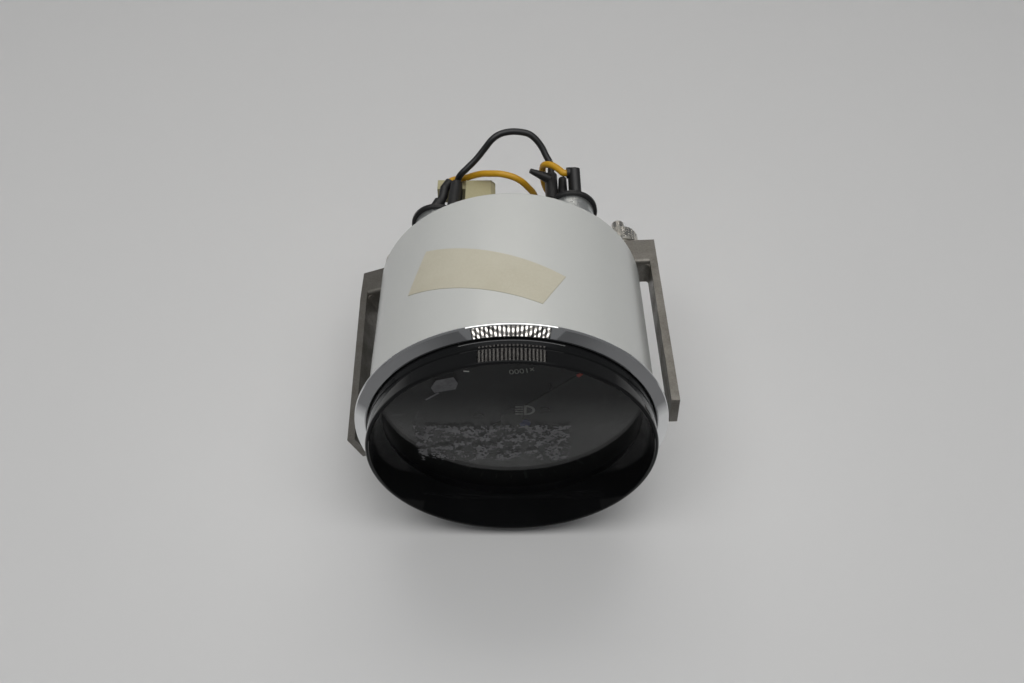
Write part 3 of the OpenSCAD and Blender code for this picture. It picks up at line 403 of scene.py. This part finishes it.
BLACK_POINTS = [
    (-20.51, 88.16, 30.7), (-20.31, 91.06, 30.7),
    (-20.2, 91.8, 31.2), (-20, 92.4, 32.6), (-19.4, 92.6, 34), (-18.3, 92.9, 35.4),
    (-16.8, 93.6, 36.6), (-13, 96, 39.4), (-10, 98, 42.4), (-7, 99.6, 45.7), (-4, 101, 47.2),
    (-0.2, 102, 47.6), (3.6, 102, 47.5), (7, 101.6, 46.8), (9.6, 100.6, 45.1), (11.9, 99, 42.6),
    (13.4, 97, 40.4), (14.9, 95, 38.5), (15.3, 93.4, 36.8), (15.3, 92, 35.6),
    (15.2, 90.3, 35.2), (15.2, 87, 35.2),
]
YELLOW_POINTS = [
    (-24.06, 91.17, 31.06), (-23.3, 92.7, 31.2),
    (-22.2, 93.9, 31.1), (-20.8, 94.9, 30.8), (-19, 95.4, 30.9), (-17, 95.2, 31.3),
    (-15, 95, 32.2), (-13.1, 94.4, 33.3), (-10.8, 93.2, 34.8), (-8.5, 92, 35.8), (-3.9, 90.3, 37),
    (0.6, 89.3, 36.5), (3.6, 89, 34.9), (5.3, 89, 33.3), (6.7, 89.2, 31.4), (8.6, 89.6, 28.6),
    (9.8, 90, 25.2), (10.8, 90.5, 21.4), (12.4, 91, 17.8), (14.8, 91.3, 15.8), (17.4, 91.5, 17),
    (18.3, 91.6, 20), (17.3, 91.6, 23.2), (15.4, 91.5, 26), (13.8, 91.4, 28.8),
    (12.9, 91.2, 31.5), (12.3, 91, 34.5), (12, 90.8, 37.5), (12, 90.4, 40), (12.5, 89.4, 41.8),
    (13.7, 88.2, 43), (15.2, 86.9, 43.6), (16.8, 85.3, 43.7), (18, 83.8, 43.7),
    (19.38, 82.41, 43.55), (22.37, 82.59, 43.55),
]
for name, points, material in (("black_lead", BLACK_POINTS, BLACK_WIRE),
                               ("yellow_lead", YELLOW_POINTS, YELLOW_WIRE)):
    lead = tube("smooth_" + name, smooth_path(points, LEAD_STEP), LEAD_DRAWN_R, material)
    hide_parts(name)


# Print on the dial

SCALE_STEPS = 32
LONG_EVERY = 4
MARK_END = 41.5
LONG_MARK = (37.0, 0.55)
SHORT_MARK = (38.8, 0.22)
NUMERAL_R = 32.5
NUMERAL_SIZE = 7.0
UNIT_SIZE = 3.4
UNIT_X, UNIT_Z = 3.2, 22.7


def dial_point(radius, degrees):
    """Place just in front of the dial at a radius and an angle above the horizontal."""
    a = math.radians(degrees)
    return (radius * math.cos(a), DIAL_Y - PRINT_LIFT, radius * math.sin(a))


def scale_marks():
    """Long marks at nine even steps of the sweep and three short ones between them, as flat quads."""
    points, faces = [], []
    for i in range(SCALE_STEPS + 1):
        at = POINTER_REST - SWEEP * i / SCALE_STEPS
        start, half = SHORT_MARK if i % LONG_EVERY else LONG_MARK
        a = math.radians(at)
        side = np.array([-math.sin(a), 0, math.cos(a)]) * half
        low, high = np.array(dial_point(start, at)), np.array(dial_point(MARK_END, at))
        faces.append([len(points) + k for k in range(4)])
        points += [low - side, high - side, high + side, low + side]
    mesh_piece("scale_marks", points, faces, PRINT_DARK, "case", False)


def flat_numeral(text, size, at, turn):
    """Outline of a numeral from the built-in font, laid on the dial and turned in its plane."""
    curve = bpy.data.curves.new("numeral_" + text, "FONT")
    curve.body = text
    curve.size = size * MM
    curve.align_x = "CENTER"
    curve.align_y = "CENTER"
    helper = bpy.data.objects.new("numeral_helper", curve)
    bpy.context.collection.objects.link(helper)
    bpy.context.view_layer.update()
    mesh = bpy.data.meshes.new_from_object(helper.evaluated_get(bpy.context.evaluated_depsgraph_get()))
    bpy.data.objects.remove(helper)
    bpy.data.curves.remove(curve)
    flat = np.array([v.co[:2] for v in mesh.vertices]) / MM
    c, s = math.cos(turn), math.sin(turn)
    x = at[0] + c * flat[:, 0] - s * flat[:, 1]
    z = at[2] + s * flat[:, 0] + c * flat[:, 1]
    points = np.stack([x, np.full(len(x), at[1]), z], -1)
    faces = [list(p.vertices) for p in mesh.polygons]
    bpy.data.meshes.remove(mesh)
    return points, faces


def dial_print():
    """Numerals 0 to 8 beside the long marks, upright in the gauge's own upright axes."""
    turn = math.pi + ROLL
    for i in range(SCALE_STEPS // LONG_EVERY + 1):
        at = dial_point(NUMERAL_R, POINTER_REST - SWEEP * i * LONG_EVERY / SCALE_STEPS)
        points, faces = flat_numeral(str(i), NUMERAL_SIZE, at, turn)
        mesh_piece(f"numeral_{i}", points, faces, PRINT_DARK, "case", False)
    points, faces = flat_numeral("x1000", UNIT_SIZE, (UNIT_X, DIAL_Y - PRINT_LIFT, UNIT_Z), turn)
    mesh_piece("numeral_unit", points, faces, PRINT_PALE, "case", False)


def ribbon(corners, width, y):
    """Flat strip of one width along corners [x, z], with its ends cut square and its bends mitred."""
    p = np.asarray(corners, float)
    way = np.diff(p, axis=0)
    way /= np.linalg.norm(way, axis=1, keepdims=True)
    way = np.vstack([way[:1], way[:-1] + way[1:], way[-1:]])
    way /= np.linalg.norm(way, axis=1, keepdims=True)
    side = np.stack([-way[:, 1], way[:, 0]], -1) * width / 2
    flat = np.stack([p - side, p + side], 1).reshape(-1, 2)
    points = np.stack([flat[:, 0], np.full(len(flat), y), flat[:, 1]], -1)
    return points, grid_faces(len(p), 2)


def join(parts):
    """One list of points and one of faces from several."""
    points, faces, count = [], [], 0
    for some_points, some_faces in parts:
        points.append(np.asarray(some_points, float))
        faces += [[count + k for k in face] for face in some_faces]
        count += len(some_points)
    return np.vstack(points), faces


BEAM_X, BEAM_Z = 4.5, 6.9
BEAM_WIDE, BEAM_HIGH = 2.9, 2.3
BEAM_LINE = ((BEAM_X, 4.15), (BEAM_X, 9.65))
BEAM_THICK = 0.9
RAY_ENDS = (1.2, 3.8)
RAY_ROWS = (4.9, 6.2, 7.5, 8.8)
RAY_THICK = 0.7


def beam_symbol():
    """Headlamp symbol on the inside of the glass: the outline of a half disc and four rays to its left."""
    y = GLASS_BACK + SYMBOL_LIFT
    a = np.radians(np.linspace(-90, 90, 17))
    arc = np.stack([BEAM_X + BEAM_WIDE * np.cos(a), BEAM_Z + BEAM_HIGH * np.sin(a)], -1)
    parts = [ribbon(arc, BEAM_THICK, y), ribbon(BEAM_LINE, BEAM_THICK, y)]
    for z in RAY_ROWS:
        parts.append(ribbon([(x, z) for x in RAY_ENDS], RAY_THICK, y))
    points, faces = join(parts)
    mesh_piece("beam_symbol", points, faces, PRINT_BEAM, "case", False)


# Marks on the glass, and a painted glint

GLUE_SEED = 11
GLUE_CELL = 0.28
GLUE_LEFT, GLUE_RIGHT, GLUE_LOW, GLUE_TOP = -34.0, 21.0, -21.6, -0.2
GLUE_LEVEL, GLUE_EDGE_LEVEL = 0.06, 0.4
NOISE_STEPS = (9, 4, 2)
NOISE_SHARE = 0.8


def smooth_noise(rows, columns, seed):
    """Random numbers on three coarse grids, spread evenly between their neighbours and added up."""
    rng = np.random.default_rng(seed)
    total = np.zeros((rows, columns))
    for step in NOISE_STEPS:
        coarse = rng.random((rows // step + 3, columns // step + 3)) - 0.5
        r, c = np.arange(rows)[:, None] / step, np.arange(columns)[None, :] / step
        i, k = r.astype(int), c.astype(int)
        u, v = r - i, c - k
        total += NOISE_SHARE * ((1 - u) * (1 - v) * coarse[i, k] + u * (1 - v) * coarse[i + 1, k]
                                + (1 - u) * v * coarse[i, k + 1] + u * v * coarse[i + 1, k + 1])
    return total


def glue_specks():
    """Glue left on the glass: cells of a fine grid where smooth noise is high, fewer near the edges."""
    cell, y = GLUE_CELL, GLASS_Y - PRINT_LIFT
    columns, rows = int((GLUE_RIGHT - GLUE_LEFT) / cell), int((GLUE_TOP - GLUE_LOW) / cell)
    noise = smooth_noise(rows, columns, GLUE_SEED)
    r, c = np.arange(rows)[:, None] / rows, np.arange(columns)[None, :] / columns
    rim = np.minimum(np.minimum(r, 1 - r) * 9, np.minimum(c, 1 - c) * 16)
    keep = noise > GLUE_LEVEL + GLUE_EDGE_LEVEL * np.clip(0.5 - rim, 0, 1)
    points = []
    for i, k in np.argwhere(keep):
        x, z = GLUE_LEFT + k * cell, GLUE_LOW + i * cell
        points += [(x, y, z), (x + cell, y, z), (x + cell, y, z + cell), (x, y, z + cell)]
    faces = np.arange(len(points)).reshape(-1, 4).tolist()
    mesh_piece("glue_specks", points, faces, GLUE, "case", False)


PATCH = ((-26.3, 20.3), (-24.4, 24.1), (-18.7, 25.8), (-17.4, 22.5), (-18.3, 19.5), (-25.3, 17.7))
SCRATCH = ((-28.4, 13.9), (-23.9, 17.7))
SCRATCH_THICK = 0.7
# Painted glint on the glass: the ends and thickness of the bright streak that stands in for a highlight
GLINT_ENDS = ((-15.4, 28.8), (-13.6, 28.6))
GLINT_THICK = 0.5


def glass_marks():
    """Pale patch and scratch on the glass, and a painted glint: a small bright streak near its upper edge
    that stands in for a highlight.
    """
    y = GLASS_Y - PRINT_LIFT
    patch = ([(x, y, z) for x, z in PATCH], [list(range(len(PATCH)))])
    points, faces = join([patch, ribbon(SCRATCH, SCRATCH_THICK, y)])
    mesh_piece("pale_patch", points, faces, GLUE, "case", False)
    points, faces = ribbon(GLINT_ENDS, GLINT_THICK, y)
    mesh_piece("painted_glint_streak", points, faces, GLINT_PAINT, "case", False)


scale_marks()
dial_print()
beam_symbol()
glue_specks()
glass_marks()


# Floor and light, in metres and watts

TABLE_COLOUR = (0.595, 0.597, 0.60)
# Painted shade: the darker table colour that mirrors see in front, and the span along y where it comes in
TABLE_SHADED = (0.19, 0.19, 0.195)
TABLE_SHADE_SPAN = (-0.036, -0.054)
TABLE_HALF = 4000
ROOM_COLOUR = (0.975, 0.985, 1.0)
ROOM_BASE, ROOM_TOP = 0.16, 0.40
TOP_SPAN = (0.80, 0.98)
LAMP_COLOUR = (1, 0.99, 0.97)
SPOT_COLOUR = (1, 0.95, 0.88)
SPOT_EDGE = (0.30, 0.24)
CARD_BLACK = (0.02, 0.02, 0.02)
CARD_AIM = (0, 0, 0.05)


def stage_floor():
    """Large flat sheet that touches the ring's lowest point and the rear lower edge of the case.
    Painted shade: seen in mirrors, its colour turns dark in front, standing in for the shade there."""
    slope = (RING_R - CASE_R) / (CASE_DEPTH - CASE_EDGE - RING_EDGE_Y)
    ends = (-TABLE_HALF, TABLE_HALF)
    points = [(x, y, -RING_R + slope * (y - RING_EDGE_Y)) for y in ends for x in ends]
    m = new_material("table", TABLE_COLOUR, 0.30, 0.0, IOR=1.40)
    place = add(m, "ShaderNodeTexCoord")
    split = add(m, "ShaderNodeSeparateXYZ")
    link(m, place.outputs["Object"], split.inputs["Vector"])
    front = add(m, "ShaderNodeMapRange")
    front.inputs["From Min"].default_value = TABLE_SHADE_SPAN[0]
    front.inputs["From Max"].default_value = TABLE_SHADE_SPAN[1]
    link(m, split.outputs["Y"], front.inputs["Value"])
    # Painted shade: for glossy rays only, the table colour darkens towards the front
    path = add(m, "ShaderNodeLightPath")
    painted_shade_mask = add(m, "ShaderNodeMath", operation="MULTIPLY")
    link(m, front.outputs["Result"], painted_shade_mask.inputs[0])
    link(m, path.outputs["Is Glossy Ray"], painted_shade_mask.inputs[1])
    mix = add(m, "ShaderNodeMix", data_type="RGBA")
    mix.inputs["A"].default_value = (*TABLE_COLOUR, 1)
    mix.inputs["B"].default_value = (*TABLE_SHADED, 1)
    link(m, painted_shade_mask.outputs["Value"], mix.inputs["Factor"])
    link(m, mix.outputs["Result"], shader_of(m).inputs["Base Color"])
    floor = mesh_piece("table", points, [[0, 1, 3, 2]], m, None, False)


def room_light():
    """World light from the direction alone: dim all round and brighter above."""
    world = bpy.data.worlds.new("room")
    bpy.context.scene.world = world
    world.use_nodes = True
    tree = world.node_tree
    place = tree.nodes.new("ShaderNodeTexCoord")
    split = tree.nodes.new("ShaderNodeSeparateXYZ")
    tree.links.new(place.outputs["Generated"], split.inputs["Vector"])
    span = tree.nodes.new("ShaderNodeMapRange")
    span.inputs["From Min"].default_value = TOP_SPAN[0]
    span.inputs["From Max"].default_value = TOP_SPAN[1]
    span.inputs["To Min"].default_value = 0
    span.inputs["To Max"].default_value = ROOM_TOP
    span.interpolation_type = "SMOOTHSTEP"
    tree.links.new(split.outputs["Z"], span.inputs["Value"])
    strength = tree.nodes.new("ShaderNodeMath")
    strength.inputs[1].default_value = ROOM_BASE
    tree.links.new(span.outputs["Result"], strength.inputs[0])
    back = tree.nodes["Background"]
    back.inputs["Color"].default_value = (*ROOM_COLOUR, 1)
    tree.links.new(strength.outputs["Value"], back.inputs["Strength"])


def area_light(name, place, aim, size, watts):
    """Rectangle of light at a place that faces a point."""
    lamp = bpy.data.lights.new(name, "AREA")
    lamp.shape = "RECTANGLE"
    lamp.size, lamp.size_y = size
    lamp.energy = watts
    lamp.color = LAMP_COLOUR
    o = bpy.data.objects.new(name, lamp)
    way = Vector(aim) - Vector(place)
    o.matrix_world = Matrix.Translation(place) @ way.to_track_quat("-Z", "Y").to_matrix().to_4x4()
    bpy.context.collection.objects.link(o)


def lamp_panel(name, place, size, pitch, strength):
    """Dark card that faces the gauge, with round lights on a grid of two pitches."""
    m = new_material(name, CARD_BLACK, 0.6)
    where = add(m, "ShaderNodeTexCoord")
    scaled = add(m, "ShaderNodeVectorMath", operation="MULTIPLY")
    scaled.inputs[1].default_value = (1 / pitch[0], 1 / pitch[1], 1)
    link(m, where.outputs["Object"], scaled.inputs[0])
    cell = add(m, "ShaderNodeVectorMath", operation="FRACTION")
    link(m, scaled.outputs["Vector"], cell.inputs[0])
    offset = add(m, "ShaderNodeVectorMath", operation="SUBTRACT")
    offset.inputs[1].default_value = (0.5, 0.5, 0)
    link(m, cell.outputs["Vector"], offset.inputs[0])
    flat = add(m, "ShaderNodeVectorMath", operation="MULTIPLY")
    flat.inputs[1].default_value = (1, 1, 0)
    link(m, offset.outputs["Vector"], flat.inputs[0])
    away = add(m, "ShaderNodeVectorMath", operation="LENGTH")
    link(m, flat.outputs["Vector"], away.inputs[0])
    spot = add(m, "ShaderNodeMapRange")
    spot.inputs["From Min"].default_value = SPOT_EDGE[0]
    spot.inputs["From Max"].default_value = SPOT_EDGE[1]
    spot.inputs["To Max"].default_value = strength
    link(m, away.outputs["Value"], spot.inputs["Value"])
    shader_of(m).inputs["Emission Color"].default_value = (*SPOT_COLOUR, 1)
    link(m, spot.outputs["Result"], shader_of(m).inputs["Emission Strength"])
    mesh = bpy.data.meshes.new(name)
    corners = [(i * size[0] / 2, k * size[1] / 2, 0) for k in (-1, 1) for i in (-1, 1)]
    mesh.from_pydata(corners, [], [[0, 1, 3, 2]])
    mesh.materials.append(m)
    card = bpy.data.objects.new(name, mesh)
    way = Vector(place) - Vector(CARD_AIM)
    card.matrix_world = Matrix.Translation(place) @ way.to_track_quat("Z", "Y").to_matrix().to_4x4()
    bpy.context.collection.objects.link(card)


room_light()
area_light("overhead", (0.0, -0.24, 0.95), (0, 0.0, 0), (1.4, 0.38), 6.5)
area_light("behind", (0.0, 0.50, 1.0), (0, 0.22, 0), (1.15, 0.26), 2.0)
lamp_panel("front_panel", (0.0, -1.4, 0.02), (0.62, 0.20), (0.034, 0.015), 3.2)
lamp_panel("rear_panel", (0.0, 0.98, 1.10), (1.1, 0.34), (0.060, 0.010), 5.5)
bpy.context.scene.view_settings.view_transform = "Standard"
stage_floor()
